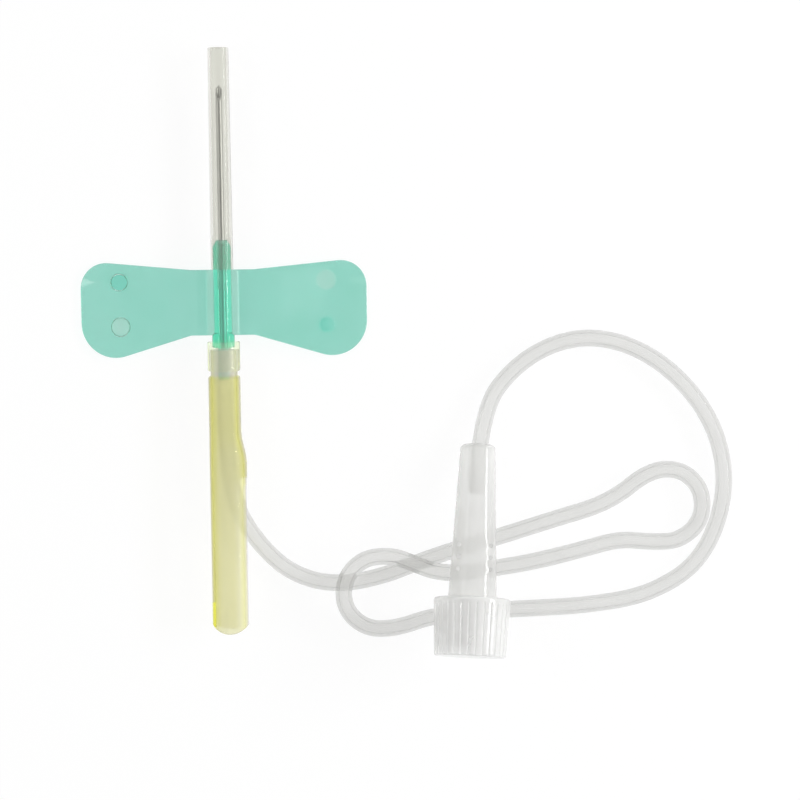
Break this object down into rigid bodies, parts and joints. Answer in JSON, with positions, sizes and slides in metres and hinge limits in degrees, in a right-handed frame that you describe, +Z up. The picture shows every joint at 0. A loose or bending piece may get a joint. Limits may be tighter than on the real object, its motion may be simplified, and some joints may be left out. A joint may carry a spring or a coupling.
{
  "type": "safety butterfly needle",
  "caption": "Winged needle set with fold-up wings, a clear needle sheath, a sliding slotted shield, a long flexible tube and a ribbed screw cap on its connector.",
  "frame": {"origin": "table level under the middle of the sheathed needle and shield, on the needle's axis", "axes": "+Y along the needle towards its tip, +X to the right wing, +Z up from the table"},
  "size_m": [0.0823, 0.0772, 0.0126],
  "materials": {
    "steel": "fine drawn",
    "green_hub": "gloss, see-through",
    "green_wing": "satin, see-through",
    "clear_sheath": "gloss, clear",
    "yellow_shield": "gloss, see-through",
    "clear_collar": "gloss, clear",
    "clear_connector": "gloss, clear",
    "clear_cap": "gloss, clear",
    "clear_tube": "soft, frosted"
  },
  "bodies": {
    "set": {"wing_hub": "green_hub", "needle": "steel", "tubing": "clear_tube", "luer_connector": "clear_connector"},
    "sheath": {"needle_sheath": "clear_sheath"},
    "shield": {"safety_shield": "yellow_shield", "shield_collar": "clear_collar"},
    "left_wing": {"left_wing": "green_wing"},
    "right_wing": {"right_wing": "green_wing"},
    "cap": {"luer_cap": "clear_cap"}
  },
  "joints": [
    {"name": "sheath_pull", "type": "slide", "parent": "set", "child": "sheath", "axis": [0, 1, 0], "range_m": [0, 0.028]},
    {"name": "shield_slide", "type": "slide", "parent": "set", "child": "shield", "axis": [0, 1, 0], "range_m": [0, 0.0335]},
    {"name": "left_wing_fold", "type": "hinge", "parent": "set", "child": "left_wing", "pos_m": [-0.00305, 0.005, 0.00235], "axis": [0, 1, 0], "range_deg": [0, 100]},
    {"name": "right_wing_fold", "type": "hinge", "parent": "set", "child": "right_wing", "pos_m": [0.00305, 0.005, 0.00235], "axis": [0, -1, 0], "range_deg": [0, 100]},
    {"name": "cap_pull", "type": "slide", "parent": "set", "child": "cap", "axis": [-0.0543, -0.9709, 0.2334], "range_m": [0, 0.012]}
  ]
}
